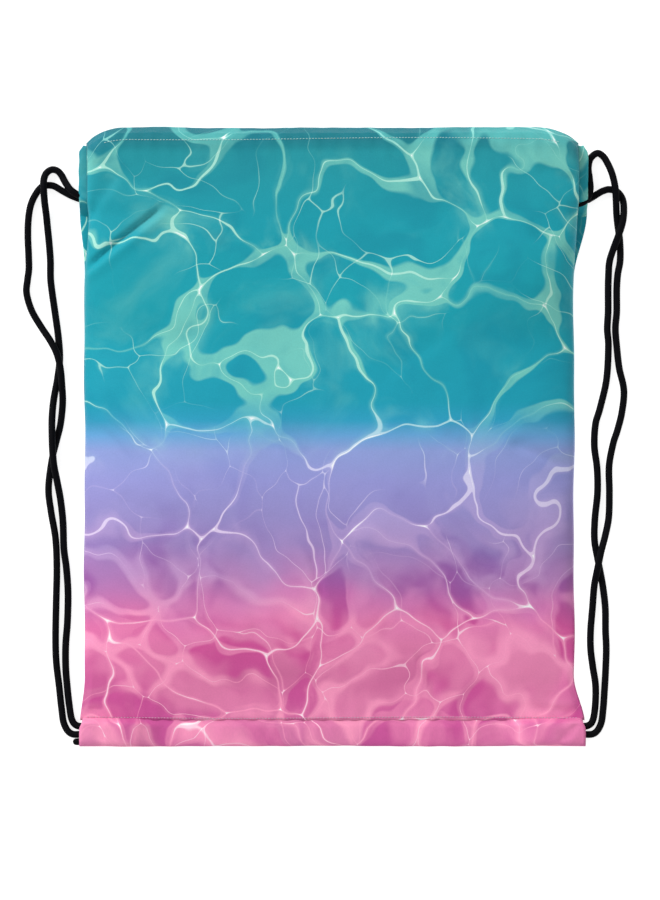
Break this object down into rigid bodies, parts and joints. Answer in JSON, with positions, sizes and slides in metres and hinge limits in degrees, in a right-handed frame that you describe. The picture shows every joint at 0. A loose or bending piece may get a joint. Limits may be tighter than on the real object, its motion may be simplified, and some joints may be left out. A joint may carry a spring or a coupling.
{
  "type": "drawstring backpack",
  "caption": "Flat drawstring backpack with printed water-pattern cloth, a cord casing round the mouth, side slits and braided cords knotted in a bottom channel as shoulder straps.",
  "frame": {"origin": "middle of the bag's own footprint, cords left out, on the surface it lies on", "axes": "+Y up the bag towards its mouth, +Z out of the front face, +X to the right as the front is seen"},
  "size_m": [0.4215, 0.43, 0.0293],
  "materials": {
    "printed_front": "printed polyester, plain weave, soft sheen",
    "printed_back": "printed polyester, plain weave, soft sheen",
    "printed_mouth": "printed polyester, plain weave, soft sheen",
    "printed_foot": "printed polyester, plain weave, soft sheen",
    "overlocked_seam": "overlocked raw edges, unprinted side",
    "thread": "polyester sewing thread",
    "cord": "matte round braid, near-black navy"
  },
  "bodies": {
    "bag": {"back_panel": "printed_back", "front_panel": "printed_front", "back_casing": "printed_mouth", "bottom_channel": "printed_foot", "left_side_seam": "overlocked_seam", "right_side_seam": "overlocked_seam", "left_slit_back_hem": "printed_mouth", "right_slit_back_hem": "printed_mouth", "left_slit_bartack": "thread", "right_slit_bartack": "thread", "back_casing_stitching": "thread", "bottom_channel_stitching": "thread"},
    "front_mouth": {"front_mouth_flap": "printed_mouth", "front_casing": "printed_mouth", "left_slit_front_hem": "printed_mouth", "right_slit_front_hem": "printed_mouth", "front_casing_stitching": "thread"},
    "left_cord": {"left_cord_back_run": "cord", "left_cord_bight": "cord", "left_cord_front_leg": "cord", "left_cord_back_leg": "cord", "left_cord_front_foot": "cord", "left_cord_back_foot": "cord", "left_cord_knot": "cord", "left_cord_tail": "cord"},
    "left_cord_front": {"left_cord_front_run": "cord"},
    "left_strap": {"left_strap_front_strand": "cord", "left_strap_back_strand": "cord"},
    "right_cord": {"right_cord_back_run": "cord", "right_cord_bight": "cord", "right_cord_front_leg": "cord", "right_cord_back_leg": "cord", "right_cord_front_foot": "cord", "right_cord_back_foot": "cord", "right_cord_knot": "cord"},
    "right_cord_front": {"right_cord_front_run": "cord"},
    "right_strap": {"right_strap_front_strand": "cord", "right_strap_back_strand": "cord"}
  },
  "joints": [
    {"name": "mouth_open", "type": "hinge", "parent": "bag", "child": "front_mouth", "pos_m": [0, 0.157, 0.031], "axis": [1, 0, 0], "range_deg": [0, 40]},
    {"name": "left_cord_pull", "type": "slide", "parent": "bag", "child": "left_cord", "axis": [-1, 0, 0], "range_m": [0, 0.012], "deforming": ["left_cord_bight", "left_cord_front_leg"]},
    {"name": "left_cord_front_pull", "type": "slide", "parent": "front_mouth", "child": "left_cord_front", "axis": [-1, 0, 0], "range_m": [0, 0.012]},
    {"name": "left_strap_swing", "type": "hinge", "parent": "left_cord", "child": "left_strap", "pos_m": [-0.1885, 0.176, 0.0027], "axis": [-0.0124, 0.9999, 0], "range_deg": [0, 90]},
    {"name": "right_cord_pull", "type": "slide", "parent": "bag", "child": "right_cord", "axis": [1, 0, 0], "range_m": [0, 0.012], "deforming": ["right_cord_bight", "right_cord_front_leg"]},
    {"name": "right_cord_front_pull", "type": "slide", "parent": "front_mouth", "child": "right_cord_front", "axis": [1, 0, 0], "range_m": [0, 0.012]},
    {"name": "right_strap_swing", "type": "hinge", "parent": "right_cord", "child": "right_strap", "pos_m": [0.1844, 0.176, 0.0027], "axis": [-0.0077, -1, 0], "range_deg": [0, 90]}
  ],
  "couplings": [
    {"joint": "left_cord_front_pull", "follows": "left_cord_pull", "ratio": 1},
    {"joint": "right_cord_front_pull", "follows": "right_cord_pull", "ratio": 1}
  ]
}
